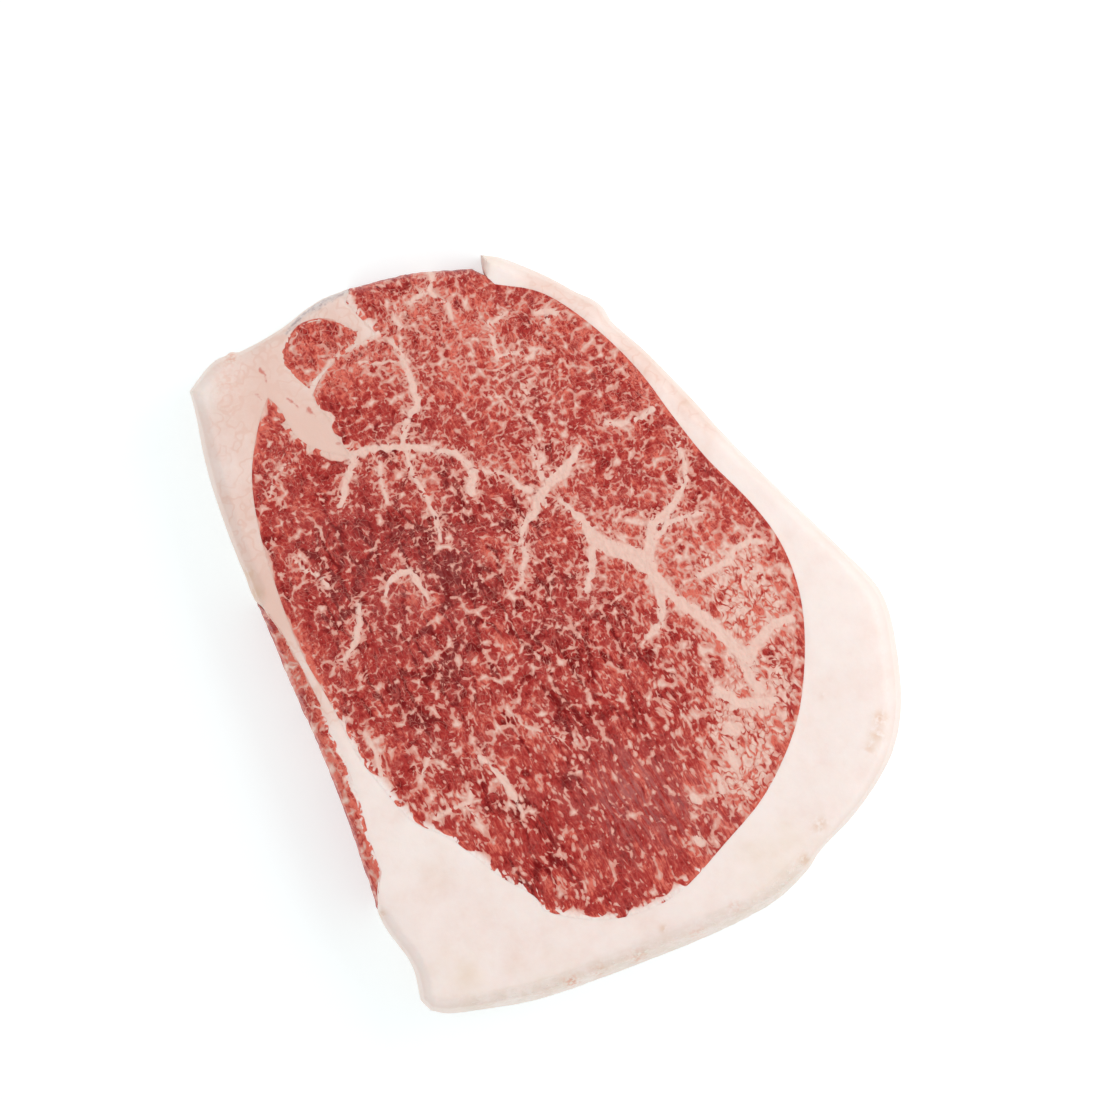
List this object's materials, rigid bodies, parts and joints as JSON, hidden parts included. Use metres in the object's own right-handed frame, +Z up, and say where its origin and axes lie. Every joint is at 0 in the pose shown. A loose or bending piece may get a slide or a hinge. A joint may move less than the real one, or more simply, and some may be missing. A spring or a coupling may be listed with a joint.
{
  "type": "eye of round steak",
  "caption": "Raw eye of round steak: an oval of marbled lean held in a cap of white fat that is thick on one side and at the foot, cut flat on both faces.",
  "frame": {"origin": "middle of the part's box on the underside", "axes": "+Z up from the underside to the cut face, +Y along the eye towards the thin end of the fat, +X across it to the thick side of the fat"},
  "size_m": [0.1182, 0.1472, 0.0227],
  "materials": {
    "lean": "raw red lean with fine fat marbling, moist",
    "side_lean": "raw red lean of a neighbouring muscle, moist",
    "fat": "firm pinkish white fat with a soft sheen"
  },
  "bodies": {
    "root": {"eye_muscle": "lean", "corner_lobe": "lean", "side_muscle": "side_lean", "fat_cap": "fat"}
  },
  "joints": []
}
